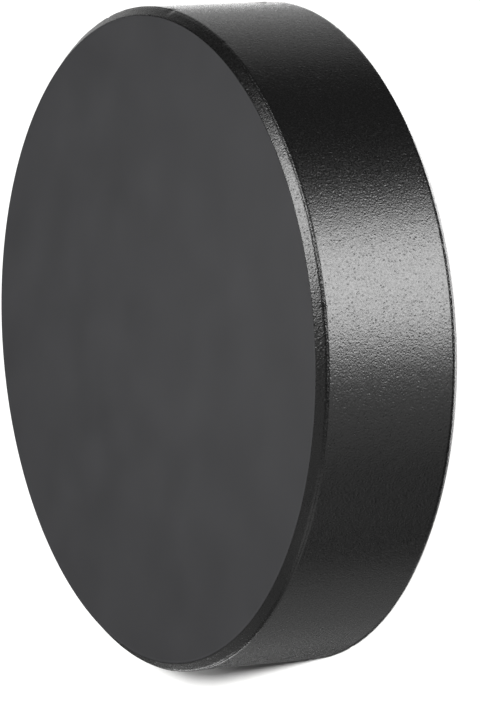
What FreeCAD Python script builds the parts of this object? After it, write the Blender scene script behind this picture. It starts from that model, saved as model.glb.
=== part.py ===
import FreeCAD, Part
import math
import os

# Ice hockey puck: one solid disc of vulcanised rubber, compression moulded in a single piece.
# Millimetres. The puck lies flat, as it does on the ice, with +Z up along the disc's axis. The
# origin is the middle of its lower face, on the surface that it lies on.

# Driving dimensions
diameter = 76.2  # across the rim, 3 inches
thickness = 18.2  # from flat face to flat face
edge_bevel = 1.0  # 45 degree bevel between each face and the rim, measured along either of them
face_corner_radius = 0.25  # small round where a flat face turns into its bevel
rim_corner_radius = 0.12  # tighter round where a bevel meets the rim, at the trim line

# Sizes that follow from them
rim_radius = diameter / 2
face_radius = rim_radius - edge_bevel
rim_bottom = edge_bevel
rim_top = thickness - edge_bevel

puck_origin = FreeCAD.Vector(0, 0, 0)
puck_axis = FreeCAD.Vector(0, 0, 1)
full_turn = 360

# Corners of half the disc's section: distance from the axis, height, corner radius
half_section = [
    (0, 0, 0),
    (face_radius, 0, face_corner_radius),
    (rim_radius, rim_bottom, rim_corner_radius),
    (rim_radius, rim_top, rim_corner_radius),
    (face_radius, thickness, face_corner_radius),
    (0, thickness, 0),
]


def rounded_corner(before, corner, after, radius):
    """Start, middle and end of the arc of this radius that rounds a corner of an outline."""
    towards_before = (before - corner).normalize()
    towards_after = (after - corner).normalize()
    half_angle = towards_before.getAngle(towards_after) / 2
    tangent_length = radius / math.tan(half_angle)
    middle_distance = radius / math.sin(half_angle) - radius
    towards_middle = (towards_before + towards_after).normalize()
    start = corner + towards_before * tangent_length
    middle = corner + towards_middle * middle_distance
    end = corner + towards_after * tangent_length
    return start, middle, end


def closed_outline(section):
    """A flat closed wire through the section's corners, with an arc at each rounded one."""
    corners = [FreeCAD.Vector(from_axis, 0, height) for from_axis, height, _ in section]
    edges = []
    line_starts_at = corners[0]
    for number in range(1, len(corners)):
        corner = corners[number]
        after = corners[(number + 1) % len(corners)]
        radius = section[number][2]
        if radius == 0:
            edges.append(Part.makeLine(line_starts_at, corner))
            line_starts_at = corner
        else:
            start, middle, end = rounded_corner(corners[number - 1], corner, after, radius)
            edges.append(Part.makeLine(line_starts_at, start))
            edges.append(Part.Arc(start, middle, end).toShape())
            line_starts_at = end
    edges.append(Part.makeLine(line_starts_at, corners[0]))
    return Part.Wire(edges)


def make_puck_body():
    """The whole puck: its half section turned once about the disc's axis."""
    section = Part.Face(closed_outline(half_section))
    return section.revolve(puck_origin, puck_axis, full_turn)


def main():
    os.makedirs("parts", exist_ok=True)
    puck_body = make_puck_body()
    puck_body.exportStep("parts/puck_body.step")
    print("puck_body:", len(puck_body.Solids), "solid, volume", round(puck_body.Volume), "mm3")


main()
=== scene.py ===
"""Looks of an ice hockey puck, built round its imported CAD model.

The puck is one disc of black vulcanised rubber, compression moulded in a single piece. The one
visible piece here is that disc with what moulding leaves on it: smooth matt faces, a fine grained
satin rim, and the trim line where the flash was cut off at each corner of the rim, with its nicks.

Lengths are in metres, in the CAD model's frame: the puck lies on the floor, with +Z up.
"""

import logging
import math
import random
from dataclasses import dataclass, field
from enum import Enum

import bmesh
import bpy
from mathutils import Matrix, Vector, noise


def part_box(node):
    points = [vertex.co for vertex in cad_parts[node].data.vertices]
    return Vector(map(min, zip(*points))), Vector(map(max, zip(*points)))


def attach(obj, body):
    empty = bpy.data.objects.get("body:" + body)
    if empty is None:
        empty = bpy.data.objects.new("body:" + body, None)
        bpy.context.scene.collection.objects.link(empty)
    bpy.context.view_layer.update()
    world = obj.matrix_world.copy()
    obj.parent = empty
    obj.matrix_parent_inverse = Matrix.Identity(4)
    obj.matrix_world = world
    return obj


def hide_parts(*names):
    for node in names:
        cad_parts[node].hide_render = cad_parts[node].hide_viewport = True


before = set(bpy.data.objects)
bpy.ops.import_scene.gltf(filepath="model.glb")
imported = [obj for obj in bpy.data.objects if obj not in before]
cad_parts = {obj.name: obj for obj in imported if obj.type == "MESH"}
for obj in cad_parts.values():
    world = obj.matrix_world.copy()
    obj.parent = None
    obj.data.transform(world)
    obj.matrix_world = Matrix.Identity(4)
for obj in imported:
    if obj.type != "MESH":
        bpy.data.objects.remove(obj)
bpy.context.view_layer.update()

log = logging.getLogger("hockey_puck")

MM = 0.001
PUCK_NODE = "puck_body"
RUBBER_IOR = 1.5
SAME_POINT = MM / 1000


class Zone(Enum):
    """Which of the puck's two moulded finishes a face of its mesh has."""

    FLAT_FACE = 0
    RIM = 1


def to_linear(colour: str) -> tuple[float, float, float, float]:
    """Turns an sRGB hex colour into linear light.

    Args:
        colour: Six hex digits, as in "1a1a1c".

    Returns:
        Linear red, green and blue, and an alpha of 1.
    """
    channels = [int(colour[start : start + 2], 16) / 255 for start in (0, 2, 4)]
    linear = [c / 12.92 if c <= 0.04045 else ((c + 0.055) / 1.055) ** 2.4 for c in channels]
    return (*linear, 1.0)


def add_node(
    tree: bpy.types.NodeTree,
    kind: str,
    settings: dict[str, object] | None = None,
    inputs: dict[str | int, object] | None = None,
) -> bpy.types.Node:
    """Adds a node with its settings, its input values and the links into it.

    Args:
        tree: The node tree that gets the node.
        kind: Blender's name for the node's type.
        settings: Values for the node's own properties.
        inputs: Values for its inputs. An output socket given as a value is linked in.

    Returns:
        The new node.
    """
    node = tree.nodes.new(kind)
    for name, value in (settings or {}).items():
        setattr(node, name, value)
    for name, value in (inputs or {}).items():
        socket = node.inputs[name]
        if isinstance(value, bpy.types.NodeSocket):
            tree.links.new(value, socket)
        else:
            socket.default_value = value
    return node


def new_material(name: str) -> tuple[bpy.types.Material, bpy.types.NodeTree]:
    """Makes an empty node material.

    Args:
        name: The material's name.

    Returns:
        The material and its empty node tree.
    """
    material = bpy.data.materials.new(name)
    material.use_nodes = True
    material.node_tree.nodes.clear()
    return material, material.node_tree


def add_surface(tree: bpy.types.NodeTree, inputs: dict[str | int, object]) -> None:
    """Ends a material in one principled surface.

    Args:
        tree: The material's node tree.
        inputs: The surface's inputs, as in add_node.
    """
    surface = add_node(tree, "ShaderNodeBsdfPrincipled", inputs=inputs)
    add_node(tree, "ShaderNodeOutputMaterial", inputs={"Surface": surface.outputs["BSDF"]})


def finished_object(
    mesh: bmesh.types.BMesh, name: str, materials: list[bpy.types.Material]
) -> bpy.types.Object:
    """Turns a mesh into an object of the scene.

    Args:
        mesh: The mesh, which is used up.
        name: The object's name.
        materials: Its materials, in the order of their slots.

    Returns:
        The object.
    """
    data = bpy.data.meshes.new(name)
    mesh.to_mesh(data)
    mesh.free()
    for material in materials:
        data.materials.append(material)
    made = bpy.data.objects.new(name, data)
    bpy.context.scene.collection.objects.link(made)
    return made


def evenly_from(
    start: tuple[float, float], end: tuple[float, float], rows: int
) -> list[tuple[float, float]]:
    """Spaces points evenly along a straight line, starting at its start and leaving out its end.

    Args:
        start: Where the line starts.
        end: Where it ends.
        rows: How many points there are.

    Returns:
        The points.
    """
    shares = [row / rows for row in range(rows)]
    return [
        (start[0] + (end[0] - start[0]) * share, start[1] + (end[1] - start[1]) * share)
        for share in shares
    ]


@dataclass(frozen=True)
class MattRubberFace:
    """Vulcanised rubber moulded against a finely blasted flat plate.

    The plate leaves the rubber dull and even, with no shine except at a low angle. Cloudy patches,
    a little lighter and darker than the rest, are where oils in the rubber have reached its surface.

    Args:
        colour: The rubber.
        bloom_colour: The rubber under the thickest oil.
        roughness: Its mean roughness.
        roughness_swing: How far the clouds move that, up and down.
        cloud_size: Width of a cloudy patch.
        grit_size: Width of the marks that the blasting grit leaves.
        grit_height: Their height.
    """

    colour: str = "1f1f21"
    bloom_colour: str = "333335"
    roughness: float = 0.62
    roughness_swing: float = 0.05
    cloud_size: float = 9 * MM
    # Blasting grit is about 0.1 mm, which is too fine to show, so it is drawn twice as coarse.
    grit_size: float = 0.2 * MM
    grit_height: float = 0.002 * MM

    def material(self) -> bpy.types.Material:
        """Builds the face's material.

        Returns:
            The material.
        """
        material, tree = new_material("matt_moulded_rubber")
        place = add_node(tree, "ShaderNodeTexCoord")
        clouds = add_node(
            tree,
            "ShaderNodeTexNoise",
            inputs={
                "Vector": place.outputs["Object"],
                "Scale": 1 / self.cloud_size,
                "Detail": 4.0,
                "Roughness": 0.55,
            },
        )
        tone = add_node(
            tree,
            "ShaderNodeMix",
            {"data_type": "RGBA"},
            {
                "Factor": clouds.outputs["Fac"],
                "A": to_linear(self.colour),
                "B": to_linear(self.bloom_colour),
            },
        )
        dullness = add_node(
            tree,
            "ShaderNodeMapRange",
            inputs={
                "Value": clouds.outputs["Fac"],
                "To Min": self.roughness - self.roughness_swing,
                "To Max": self.roughness + self.roughness_swing,
            },
        )
        grit = add_node(
            tree,
            "ShaderNodeTexNoise",
            inputs={
                "Vector": place.outputs["Object"],
                "Scale": 1 / self.grit_size,
                "Detail": 1.0,
            },
        )
        bump = add_node(
            tree,
            "ShaderNodeBump",
            inputs={"Height": grit.outputs["Fac"], "Distance": self.grit_height},
        )
        add_surface(
            tree,
            {
                "Base Color": tone.outputs["Result"],
                "Roughness": dullness.outputs["Result"],
                "Normal": bump.outputs["Normal"],
                "IOR": RUBBER_IOR,
            },
        )
        return material


@dataclass(frozen=True)
class GrainedRubberRim:
    """Vulcanised rubber moulded against a spark eroded ring.

    The ring leaves a satin skin with a fine pebbled grain, which breaks a highlight into specks,
    and here and there a pinhole where air was trapped. Along the two trim lines, where the flash
    was cut off, the skin is torn into small pits.

    Args:
        radius: The rim's radius.
        middle: Height of the middle of the rim.
        rim_half_width: From there to either trim line.
        colour: The rubber.
        top_roughness: Roughness of the tops of the pebbles.
        pit_roughness: Roughness of the hollows between them.
        pebble_low: Grain height where the hollows' roughness is reached.
        pebble_high: Grain height where the tops' roughness is reached.
        dimple_spacing: From one spark's dimple to the next.
        dimple_share: A dimple's radius, as a share of that.
        dimple_depth: Its depth.
        pebble_size: Width of a pebble.
        pebble_height: Its height.
        pinhole_spacing: From one pinhole to the next.
        pinhole_share: A pinhole's radius, as a share of that.
        pinhole_depth: Its depth.
        pit_size: Width of a pit beside a trim line.
        pit_depth: Its depth.
        pit_reach: How far from a trim line there are pits.
    """

    radius: float
    middle: float
    rim_half_width: float
    colour: str = "090909"
    top_roughness: float = 0.2
    pit_roughness: float = 0.36
    pebble_low: float = 0.3
    pebble_high: float = 0.7
    dimple_spacing: float = 0.4 * MM
    dimple_share: float = 0.4
    dimple_depth: float = 0.016 * MM
    pebble_size: float = 0.2 * MM
    pebble_height: float = 0.027 * MM
    pinhole_spacing: float = 1.9 * MM
    pinhole_share: float = 0.08
    pinhole_depth: float = 0.03 * MM
    pit_size: float = 0.22 * MM
    pit_depth: float = 0.06 * MM
    pit_reach: float = 0.12 * MM

    def near_trim_line(
        self, tree: bpy.types.NodeTree, place: bpy.types.NodeSocket
    ) -> bpy.types.NodeSocket:
        """Finds how close a point is to a trim line.

        Args:
            tree: The material's node tree.
            place: The point, in the CAD model's frame.

        Returns:
            1 on a trim line, falling to 0 at the pits' reach.
        """
        split = add_node(tree, "ShaderNodeSeparateXYZ", inputs={"Vector": place})
        flat = add_node(
            tree, "ShaderNodeVectorMath", {"operation": "MULTIPLY"}, {0: place, 1: (1, 1, 0)}
        )
        outwards = add_node(
            tree, "ShaderNodeVectorMath", {"operation": "LENGTH"}, {0: flat.outputs["Vector"]}
        )
        beyond = add_node(
            tree,
            "ShaderNodeMath",
            {"operation": "SUBTRACT"},
            {0: outwards.outputs["Value"], 1: self.radius},
        )
        height = add_node(
            tree, "ShaderNodeMath", {"operation": "SUBTRACT"}, {0: split.outputs["Z"], 1: self.middle}
        )
        level = add_node(tree, "ShaderNodeMath", {"operation": "ABSOLUTE"}, {0: height.outputs["Value"]})
        above = add_node(
            tree,
            "ShaderNodeMath",
            {"operation": "SUBTRACT"},
            {0: level.outputs["Value"], 1: self.rim_half_width},
        )
        offset = add_node(
            tree,
            "ShaderNodeCombineXYZ",
            inputs={"X": beyond.outputs["Value"], "Y": above.outputs["Value"]},
        )
        reach = add_node(
            tree, "ShaderNodeVectorMath", {"operation": "LENGTH"}, {0: offset.outputs["Vector"]}
        )
        nearness = add_node(
            tree,
            "ShaderNodeMapRange",
            inputs={
                "Value": reach.outputs["Value"],
                "From Max": self.pit_reach,
                "To Min": 1.0,
                "To Max": 0.0,
            },
        )
        return nearness.outputs["Result"]

    def relief(
        self, tree: bpy.types.NodeTree, place: bpy.types.NodeSocket, pebbles: bpy.types.NodeSocket
    ) -> bpy.types.NodeSocket:
        """Lays the grain, the pinholes and the trim lines' pits on the surface.

        Args:
            tree: The material's node tree.
            place: The point, in the CAD model's frame.
            pebbles: Height of the grain, from 0 to 1.

        Returns:
            The surface's normal.
        """
        sparks = add_node(
            tree,
            "ShaderNodeTexVoronoi",
            inputs={"Vector": place, "Scale": 1 / self.dimple_spacing},
        )
        dimples = add_node(
            tree,
            "ShaderNodeMapRange",
            {"interpolation_type": "SMOOTHSTEP"},
            {"Value": sparks.outputs["Distance"], "From Max": self.dimple_share},
        )
        pinholes = add_node(
            tree,
            "ShaderNodeTexVoronoi",
            inputs={"Vector": place, "Scale": 1 / self.pinhole_spacing},
        )
        holes = add_node(
            tree,
            "ShaderNodeMapRange",
            inputs={"Value": pinholes.outputs["Distance"], "From Max": self.pinhole_share},
        )
        torn = add_node(
            tree, "ShaderNodeTexVoronoi", inputs={"Vector": place, "Scale": 1 / self.pit_size}
        )
        pits = add_node(
            tree,
            "ShaderNodeMath",
            {"operation": "MULTIPLY"},
            {0: torn.outputs["Distance"], 1: self.near_trim_line(tree, place)},
        )
        pebbled = add_node(
            tree, "ShaderNodeBump", inputs={"Height": pebbles, "Distance": self.pebble_height}
        )
        dimpled = add_node(
            tree,
            "ShaderNodeBump",
            inputs={
                "Height": dimples.outputs["Result"],
                "Distance": self.dimple_depth,
                "Normal": pebbled.outputs["Normal"],
            },
        )
        holed = add_node(
            tree,
            "ShaderNodeBump",
            inputs={
                "Height": holes.outputs["Result"],
                "Distance": self.pinhole_depth,
                "Normal": dimpled.outputs["Normal"],
            },
        )
        pitted = add_node(
            tree,
            "ShaderNodeBump",
            inputs={
                "Height": pits.outputs["Value"],
                "Distance": self.pit_depth,
                "Normal": holed.outputs["Normal"],
            },
        )
        return pitted.outputs["Normal"]

    def material(self) -> bpy.types.Material:
        """Builds the rim's material.

        Returns:
            The material.
        """
        material, tree = new_material("grained_moulded_rubber")
        place = add_node(tree, "ShaderNodeTexCoord").outputs["Object"]
        pebbles = add_node(
            tree,
            "ShaderNodeTexNoise",
            inputs={
                "Vector": place,
                "Scale": 1 / self.pebble_size,
                "Detail": 2.0,
                "Roughness": 0.5,
            },
        )
        dullness = add_node(
            tree,
            "ShaderNodeMapRange",
            inputs={
                "Value": pebbles.outputs["Fac"],
                "From Min": self.pebble_low,
                "From Max": self.pebble_high,
                "To Min": self.pit_roughness,
                "To Max": self.top_roughness,
            },
        )
        add_surface(
            tree,
            {
                "Base Color": to_linear(self.colour),
                "Roughness": dullness.outputs["Result"],
                "Normal": self.relief(tree, place, pebbles.outputs["Fac"]),
                "IOR": RUBBER_IOR,
            },
        )
        return material


@dataclass(frozen=True)
class StudioWhite:
    """Matt white laminate, the table that a small product is pictured on.

    Args:
        colour: The laminate.
        roughness: Its roughness.
    """

    colour: str = "f8f8f7"
    roughness: float = 0.7

    def material(self) -> bpy.types.Material:
        """Builds the table's material.

        Returns:
            The material.
        """
        material, tree = new_material("matt_white_laminate")
        add_surface(tree, {"Base Color": to_linear(self.colour), "Roughness": self.roughness})
        return material


@dataclass(frozen=True)
class BlackCard:
    """Black flocked card, which gives back almost no light.

    Args:
        colour: The flock.
        roughness: Its roughness.
        shine: Strength of its sheen at a right angle; 0 is none.
    """

    colour: str = "040404"
    roughness: float = 1.0
    shine: float = 0.0

    def material(self) -> bpy.types.Material:
        """Builds the card's material.

        Returns:
            The material.
        """
        material, tree = new_material("black_flocked_card")
        add_surface(
            tree,
            {
                "Base Color": to_linear(self.colour),
                "Roughness": self.roughness,
                "Specular IOR Level": self.shine,
            },
        )
        return material


@dataclass(frozen=True)
class Nick:
    """A small bite out of a trim line.

    Args:
        turn: Where it is round the rim, in degrees from +X towards +Y.
        side: 1 on the upper trim line and -1 on the lower one.
        width: How far it reaches along the trim line.
        depth: How deep it is.
        roundness: How far it reaches across the trim line, as a share of its width.
        steepness: How fast it fades outwards.
        cutoff: Square of how far out it ends, counted in its own widths.
    """

    turn: float
    side: int
    width: float
    depth: float
    roundness: float = 0.7
    steepness: float = 2.0
    cutoff: float = 4.0

    def sink(self, along: float, across: float) -> float:
        """How deep the nick is at a point.

        Args:
            along: From the nick's middle to the point, along the trim line.
            across: From the trim line to the point.

        Returns:
            The depth there, which fades outwards like a bell.
        """
        spread = (along / self.width) ** 2 + (across / (self.width * self.roundness)) ** 2
        fades_to = math.exp(-self.steepness * spread)
        return self.depth * fades_to if spread < self.cutoff else 0.0


SMALL_NICK_WIDTHS = (0.35, 0.8)
SMALL_NICK_DEPTHS = (0.02, 0.07)


def scattered_nicks(count: int, seed: int) -> list[Nick]:
    """Scatters small nicks along both trim lines.

    Args:
        count: How many there are.
        seed: Picks their places and sizes, the same each time.

    Returns:
        The nicks.
    """
    chance = random.Random(seed)
    return [
        Nick(
            turn=chance.uniform(-180, 180),
            side=chance.choice((-1, 1)),
            width=chance.uniform(*SMALL_NICK_WIDTHS) * MM,
            depth=chance.uniform(*SMALL_NICK_DEPTHS) * MM,
        )
        for _ in range(count)
    ]


@dataclass
class PuckBody:
    """The whole puck, one moulded disc.

    Heights in the half profile are counted from the middle of the thickness, because the disc is
    the same above and below it.

    Args:
        radius: Half of the diameter across the rim.
        thickness: From flat face to flat face.
        bevel: The 45 degree bevel, along the face or along the rim.
        face_corner_radius: Round between a flat face and its bevel.
        groove_width: The trim line's groove, measured along the bevel.
        groove_depth: How deep that groove is.
        lip_height: How far the cut edge of the flash stands out from the rim.
        lip_width: How far down the rim that lip fades out.
        steps: How many steps go once round the puck.
        rim_rows: Rows of the mesh from mid rim to the lip.
        bevel_rows: Rows across a bevel.
        face_rows: Rows from a face's edge to its middle.
        corner_rows: Rows round the corner of a face.
        face_lip_width: The narrow rise round the edge of each flat face.
        face_sink: How far the face lies below that rise.
        support: From the corner of a face to the first of its rows.
        ripple_size: Width of the ripples on the rim and bevels.
        ripple_height: Their height.
        trim_wander_size: Length of the bends in the trim lines.
        trim_wander: How far those go in and out.
        nicks: Bites out of the trim lines.
    """

    radius: float
    thickness: float
    bevel: float = 1.0 * MM
    face_corner_radius: float = 0.25 * MM
    groove_width: float = 0.05 * MM
    groove_depth: float = 0.02 * MM
    lip_height: float = 0.002 * MM
    lip_width: float = 0.3 * MM
    steps: int = 900
    rim_rows: int = 26
    bevel_rows: int = 4
    face_rows: int = 6
    corner_rows: int = 4
    face_lip_width: float = 0.14 * MM
    face_sink: float = 0.025 * MM
    support: float = 0.4 * MM
    ripple_size: float = 0.9 * MM
    ripple_height: float = 0.006 * MM
    trim_wander_size: float = 1.5 * MM
    trim_wander: float = 0.025 * MM
    nicks: list[Nick] = field(default_factory=list)

    @property
    def half_thickness(self) -> float:
        """Half of the puck's thickness."""
        return self.thickness / 2

    @property
    def face_radius(self) -> float:
        """Where a flat face ends and its bevel starts."""
        return self.radius - self.bevel

    @property
    def rim_half_width(self) -> float:
        """Height of the sharp corner between bevel and rim, above the middle."""
        return self.half_thickness - self.bevel

    def half_profile(self, mesh: bmesh.types.BMesh) -> None:
        """Draws the upper half of the disc's outline, from mid rim to the middle of the face.

        Args:
            mesh: The empty mesh that gets the outline.
        """
        diagonal = math.sqrt(0.5)
        groove_middle = self.groove_width / 2
        mid_rim = (self.radius, 0)
        lip_foot = (self.radius, self.rim_half_width - self.lip_width)
        lip_top = (self.radius + self.lip_height, self.rim_half_width - self.lip_height)
        groove_bottom = (
            self.radius - (groove_middle + self.groove_depth) * diagonal,
            self.rim_half_width + (groove_middle - self.groove_depth) * diagonal,
        )
        groove_end = (
            self.radius - self.groove_width * diagonal,
            self.rim_half_width + self.groove_width * diagonal,
        )
        face_corner = (self.face_radius, self.half_thickness)
        face_height = self.half_thickness - self.face_sink
        face_lip = (self.face_radius - self.face_lip_width, self.half_thickness)
        sink_run = 2 * self.face_sink
        face_edge = (self.face_radius - self.face_lip_width - sink_run, face_height)
        face_support = (self.face_radius - self.support, face_height)
        face_middle = (0, face_height)
        outline = [
            *evenly_from(mid_rim, lip_foot, self.rim_rows),
            lip_foot,
            lip_top,
            groove_bottom,
            *evenly_from(groove_end, face_corner, self.bevel_rows),
            face_corner,
            face_lip,
            face_edge,
            *evenly_from(face_support, face_middle, self.face_rows),
            face_middle,
        ]
        points = [mesh.verts.new((across, 0, up)) for across, up in outline]
        for pair in zip(points, points[1:]):
            mesh.edges.new(pair)
        half_corner = math.radians(45) / 2
        bmesh.ops.bevel(
            mesh,
            geom=[points[outline.index(face_corner)]],
            offset=self.face_corner_radius * math.tan(half_corner),
            offset_type="OFFSET",
            segments=self.corner_rows,
            profile=0.5,
            affect="VERTICES",
            material=-1,
        )

    def turned_disc(self) -> bmesh.types.BMesh:
        """Turns the half profile once round the axis and mirrors it below the middle.

        Returns:
            The closed disc, with its faces pointing outwards.
        """
        mesh = bmesh.new()
        self.half_profile(mesh)
        bmesh.ops.spin(
            mesh,
            geom=mesh.verts[:] + mesh.edges[:],
            cent=(0, 0, 0),
            axis=(0, 0, 1),
            angle=math.tau,
            steps=self.steps,
            use_merge=True,
        )
        bmesh.ops.mirror(
            mesh,
            geom=mesh.verts[:] + mesh.edges[:] + mesh.faces[:],
            matrix=Matrix.Identity(4),
            merge_dist=SAME_POINT,
            axis="Z",
        )
        bmesh.ops.remove_doubles(mesh, verts=mesh.verts, dist=SAME_POINT)
        bmesh.ops.recalc_face_normals(mesh, faces=mesh.faces)
        return mesh

    def trim_line_wear(self, point: Vector) -> float:
        """How far a point sinks in because the trim line wanders or is nicked there.

        Args:
            point: A point of the disc, with its height counted from the middle.

        Returns:
            The distance that it moves in, towards the disc's middle.
        """
        side = 1 if point.z > 0 else -1
        outwards = math.hypot(point.x, point.y)
        reach = math.hypot(outwards - self.radius, abs(point.z) - self.rim_half_width)
        sink = 0.0
        wander_reach = 2 * self.groove_width
        if reach < wander_reach:
            fade = 1 - reach / wander_reach
            sink += self.trim_wander * fade * noise.noise(point / self.trim_wander_size)
        for nick in self.nicks:
            if nick.side != side:
                continue
            turn = math.radians(nick.turn)
            along = math.remainder(math.atan2(point.y, point.x) - turn, math.tau) * self.radius
            sink += nick.sink(along, reach)
        return sink

    def add_moulding_marks(self, mesh: bmesh.types.BMesh) -> None:
        """Ripples the rim and the bevels, and wears the trim lines.

        Args:
            mesh: The turned disc.
        """
        mesh.normal_update()
        moves: dict[bmesh.types.BMVert, Vector] = {}
        for vert in mesh.verts:
            outwards = math.hypot(vert.co.x, vert.co.y)
            if outwards < self.face_radius:
                continue
            ripple = self.ripple_height * noise.noise(vert.co / self.ripple_size)
            inwards = Vector((-vert.co.x, -vert.co.y, -math.copysign(outwards, vert.co.z)))
            moves[vert] = vert.normal * ripple + inwards.normalized() * self.trim_line_wear(vert.co)
        for vert, move in moves.items():
            vert.co += move

    def set_zones(self, mesh: bmesh.types.BMesh) -> None:
        """Gives the flat faces one finish, and the rim and bevels the other.

        Args:
            mesh: The finished disc.
        """
        for face in mesh.faces:
            middle = face.calc_center_median()
            on_face = math.hypot(middle.x, middle.y) < self.face_radius
            face.material_index = (Zone.FLAT_FACE if on_face else Zone.RIM).value
            face.smooth = True

    def build(self, face_finish: MattRubberFace, rim_finish: GrainedRubberRim) -> bpy.types.Object:
        """Makes the piece, which stands for the CAD disc.

        Args:
            face_finish: The finish of both flat faces.
            rim_finish: The finish of the rim and both bevels.

        Returns:
            The puck's one visible piece.
        """
        mesh = self.turned_disc()
        self.add_moulding_marks(mesh)
        self.set_zones(mesh)
        bmesh.ops.translate(mesh, verts=mesh.verts, vec=(0, 0, self.half_thickness))
        puck = finished_object(
            mesh, "moulded_puck", [face_finish.material(), rim_finish.material()]
        )
        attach(puck, "root")
        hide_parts(PUCK_NODE)
        log.info("moulded_puck: %d faces", len(puck.data.polygons))
        return puck


@dataclass
class ViewingAngle:
    """Where the puck is looked at from.

    The puck is seen from well above its rim with the camera rolled on its side, so that the puck
    seems to stand on its rim.

    Args:
        target: The middle of the puck's upper face.
        azimuth: Degrees round the puck; 0 looks along +Y and 90 along -X.
        elevation: Degrees above the upper face.
        roll: Degrees that the camera is turned about its line of sight.
        distance: From the camera to the target, along the line of sight.
        shift_right: How far right of the line of sight the target lies.
        shift_up: How far above the line of sight the target lies.
        lens: Focal length in millimetres, on a sensor 36 mm long.
        nearest: Nearer things than this aren't seen.
    """

    target: Vector
    azimuth: float = 30.0
    elevation: float = 29.484
    roll: float = -94.088
    distance: float = 0.6862
    shift_right: float = -0.010184
    shift_up: float = 0.001429
    lens: float = 306.4
    nearest: float = 10 * MM

    @property
    def turned(self) -> Matrix:
        """The camera's turn.

        Returns:
            A turn whose columns are its right, its up and the way back to the viewer.
        """
        azimuth, elevation = math.radians(self.azimuth), math.radians(self.elevation)
        back = Vector(
            (
                math.sin(azimuth) * math.cos(elevation),
                -math.cos(azimuth) * math.cos(elevation),
                math.sin(elevation),
            )
        )
        level = back.to_track_quat("Z", "Y").to_matrix()
        return level @ Matrix.Rotation(math.radians(self.roll), 3, "Z")

    def towards(self, right: float, up: float, front: float) -> Vector:
        """A direction given as the viewer sees it, turned into the CAD model's frame.

        Args:
            right: Its share to the viewer's right.
            up: Its share upwards in the view.
            front: Its share from the puck to the viewer.

        Returns:
            The direction, of length 1.
        """
        return (self.turned @ Vector((right, up, front))).normalized()

    def build(self) -> bpy.types.Object:
        """Makes the camera and looks through it.

        Returns:
            The camera.
        """
        data = bpy.data.cameras.new("picture_camera")
        data.lens = self.lens
        data.clip_start = self.nearest
        camera = bpy.data.objects.new("picture_camera", data)
        offset = self.turned @ Vector((-self.shift_right, -self.shift_up, self.distance))
        camera.matrix_world = Matrix.Translation(self.target + offset) @ self.turned.to_4x4()
        bpy.context.scene.collection.objects.link(camera)
        bpy.context.scene.camera = camera
        log.info("picture_camera: %.0f mm lens", self.lens)
        return camera


@dataclass(frozen=True)
class Softbox:
    """A soft light that hangs upright in the viewer's picture of the puck, and lights only the puck.

    Args:
        name: The light's name.
        towards: Its direction from the puck: right, up and front, as the viewer sees them.
        size: Its width and height.
        power: Its power in watts.
        distance: From the puck to it.
    """

    name: str
    towards: tuple[float, float, float]
    size: tuple[float, float]
    power: float
    distance: float = 1.0


@dataclass(frozen=True)
class FarBank:
    """A bank of lamps far off, which lights only the table, evenly as far as it is seen.

    Args:
        name: The light's name.
        towards: Its direction from the puck: right, up and front, as the viewer sees them.
        spread: How wide the bank looks from the puck, in degrees.
        strength: Watts on each square metre that faces it.
        distance: From the puck to where it hangs, which makes no difference to its light.
    """

    name: str
    towards: tuple[float, float, float]
    spread: float
    strength: float
    distance: float = 1.0


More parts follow.
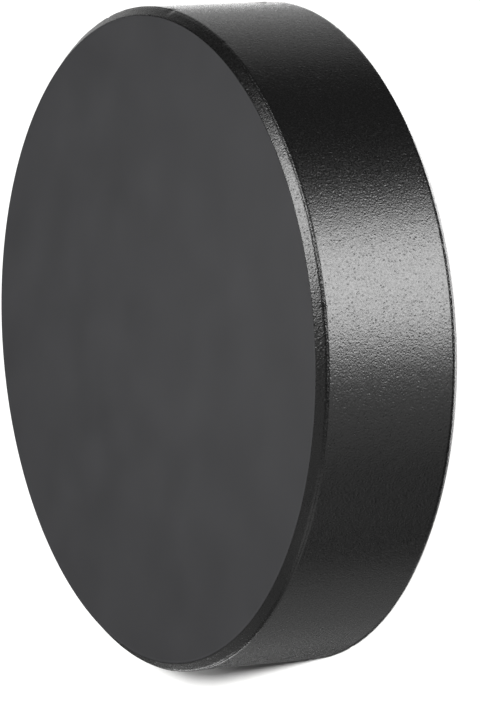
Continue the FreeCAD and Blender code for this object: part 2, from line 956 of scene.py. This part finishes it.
@dataclass
class Studio:
    """The table and the lights.

    Args:
        view: The viewing angle that the lights are set out for.
        softboxes: The puck's lights.
        far_banks: The table's lights.
        floor_radius: How far the table reaches.
        floor_sides: Sides of the table's and the card's outlines.
        backdrop: The colour seen behind everything.
        surround: How strongly that lights the puck, against how it is seen.
        card_margin: How far the black card reaches past the rim.
        card_depth: How far it lies below the table top.
    """

    view: ViewingAngle
    softboxes: list[Softbox]
    far_banks: list[FarBank]
    floor_radius: float = 12.0
    floor_sides: int = 64
    backdrop: str = "ffffff"
    surround: float = 0.06
    card_margin: float = 1.2 * MM
    card_depth: float = 0.2 * MM

    def disc(self, radius: float) -> bmesh.types.BMesh:
        """Draws a flat disc at table height.

        Args:
            radius: Its radius.

        Returns:
            The disc.
        """
        mesh = bmesh.new()
        bmesh.ops.create_circle(mesh, cap_ends=True, segments=self.floor_sides, radius=radius)
        return mesh

    def build_floor(self) -> bpy.types.Object:
        """Makes the table top, which only the camera sees, so that it doesn't tint the puck.

        Returns:
            The table top.
        """
        mesh = self.disc(self.floor_radius)
        table = finished_object(mesh, "table_top", [StudioWhite().material()])
        table.visible_glossy = False
        table.visible_diffuse = False
        table.visible_shadow = False
        return table

    def build_card(self, puck: bpy.types.Object) -> None:
        """Lays a black half disc of card just under the table top, on the side away from the viewer.

        The softboxes below the table shine through it. The card keeps them off the underside of
        the puck's far edge, which a table would keep dark.

        Args:
            puck: The puck.
        """
        mesh = self.disc(puck.dimensions.x / 2 + self.card_margin)
        to_viewer = self.view.towards(0, 0, 1)
        bmesh.ops.bisect_plane(
            mesh,
            geom=[*mesh.verts, *mesh.edges, *mesh.faces],
            plane_co=(0, 0, 0),
            plane_no=(to_viewer.x, to_viewer.y, 0),
            clear_outer=True,
        )
        bmesh.ops.translate(mesh, verts=mesh.verts, vec=(0, 0, -self.card_depth))
        finished_object(mesh, "black_card", [BlackCard().material()])

    def build_surround(self) -> None:
        """Makes the world: pale where it is seen, and dim where it lights the puck."""
        world = bpy.data.worlds.new("studio_surround")
        bpy.context.scene.world = world
        world.use_nodes = True
        tree = world.node_tree
        tree.nodes.clear()
        ray = add_node(tree, "ShaderNodeLightPath")
        strength = add_node(
            tree,
            "ShaderNodeMapRange",
            inputs={"Value": ray.outputs["Is Camera Ray"], "To Min": self.surround, "To Max": 1.0},
        )
        light = add_node(
            tree,
            "ShaderNodeBackground",
            inputs={"Color": to_linear(self.backdrop), "Strength": strength.outputs["Result"]},
        )
        add_node(tree, "ShaderNodeOutputWorld", inputs={"Surface": light.outputs["Background"]})

    def hang(
        self,
        data: bpy.types.Light,
        towards: tuple[float, float, float],
        distance: float,
        receiver: bpy.types.Object,
    ) -> None:
        """Hangs a light so that it faces the puck, and limits it to the one object that it lights.

        Args:
            data: The light.
            towards: Its direction from the puck, as the viewer sees it.
            distance: From the puck to the light.
            receiver: The object that it lights.
        """
        light = bpy.data.objects.new(data.name, data)
        away = self.view.towards(*towards)
        across = self.view.towards(0, 1, 0).cross(away).normalized()
        aim = Matrix((across, away.cross(across), away)).transposed().to_4x4()
        light.matrix_world = Matrix.Translation(self.view.target + away * distance) @ aim
        light.visible_camera = False
        bpy.context.scene.collection.objects.link(light)
        lit = bpy.data.collections.new(f"lit_by_{data.name}")
        lit.objects.link(receiver)
        light.light_linking.receiver_collection = lit

    def build_softbox(self, box: Softbox, puck: bpy.types.Object) -> None:
        """Makes one softbox.

        Args:
            box: The softbox.
            puck: The piece that it lights.
        """
        data = bpy.data.lights.new(box.name, "AREA")
        data.shape = "RECTANGLE"
        data.size, data.size_y = box.size
        data.energy = box.power
        self.hang(data, box.towards, box.distance, puck)

    def build_far_bank(self, bank: FarBank, table: bpy.types.Object) -> None:
        """Makes one far bank.

        Args:
            bank: The bank.
            table: The table top, which it lights.
        """
        data = bpy.data.lights.new(bank.name, "SUN")
        data.angle = math.radians(bank.spread)
        data.energy = bank.strength
        self.hang(data, bank.towards, bank.distance, table)

    def build(self, puck: bpy.types.Object) -> None:
        """Sets up the table, the surround and every light.

        Args:
            puck: The piece that the softboxes light.
        """
        table = self.build_floor()
        self.build_card(puck)
        self.build_surround()
        for box in self.softboxes:
            self.build_softbox(box, puck)
        for bank in self.far_banks:
            self.build_far_bank(bank, table)
        bpy.context.scene.view_settings.view_transform = "Standard"
        log.info("studio: %d softboxes and %d far banks", len(self.softboxes), len(self.far_banks))


def main() -> None:
    """Builds the puck, the camera and the studio."""
    logging.basicConfig(level=logging.INFO, format="%(name)s: %(message)s")
    low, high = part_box(PUCK_NODE)
    puck_body = PuckBody(
        radius=(high.x - low.x) / 2,
        thickness=high.z - low.z,
        nicks=[Nick(turn=17, side=1, width=0.9 * MM, depth=0.2 * MM), *scattered_nicks(26, seed=7)],
    )
    rim_finish = GrainedRubberRim(
        radius=puck_body.radius,
        middle=puck_body.half_thickness,
        rim_half_width=puck_body.rim_half_width,
    )
    puck = puck_body.build(MattRubberFace(), rim_finish)
    view = ViewingAngle(target=Vector((0, 0, high.z)))
    view.build()
    # The first two draw the bright bands on the rim and on its bevel. The rest fill in the faces and
    # the dark parts between, from the side that each is named after.
    softboxes = [
        Softbox("rim_key", (0.826, 0.270, 0.489), (0.5, 0.63), 13.9),
        Softbox("bevel_key", (-0.57, 0.41, 0.715), (0.42, 0.62), 11.8),
        Softbox("rim_fill", (0.8, -0.35, 0.48), (0.6, 0.5), 0.7),
        Softbox("face_fill", (-0.949, 0.018, 0.313), (0.05, 0.05), 0.020, 0.0773),
        Softbox("face_glow", (-0.8, -0.05, -0.6), (0.8, 0.8), 0.55),
        Softbox("back_glow", (0.0, 0.25, -0.97), (1.2, 0.8), 2.3),
        Softbox("back_strip", (0.25, 0.12, -0.95), (0.6, 0.4), 2.1),
        Softbox("back_top", (-0.1, 0.75, -0.65), (1.0, 0.5), 0.7),
        Softbox("low_front", (0.2, -0.85, 0.45), (1.4, 0.6), 2.0),
        Softbox("low_middle", (0.1, -0.99, 0.05), (1.4, 0.6), 1.15),
        Softbox("low_back", (0.1, -0.7, -0.7), (1.4, 0.6), 0.9),
        Softbox("low_left", (-0.65, -0.7, 0.3), (0.6, 0.8), 0.6),
        Softbox("low_left_back", (-0.51, -0.80, -0.31), (0.5, 0.5), 0.3),
        Softbox("side_strip", (0.456, 0.292, 0.841), (0.3, 0.22), 1.3),
        Softbox("rear_strip", (-0.094, -0.629, -0.772), (0.3, 0.4), 1.1),
        Softbox("bevel_fill", (-0.50, -0.42, 0.76), (0.5, 0.5), 0.4),
    ]
    far_banks = [
        FarBank("table_front_bank", (-0.082, 0.095, 0.992), 4, 6.4),
        FarBank("table_top_bank", (-0.391, 0.10, 0.915), 10, 0.8),
    ]
    Studio(view, softboxes, far_banks).build(puck)


if __name__ == "__main__":
    main()
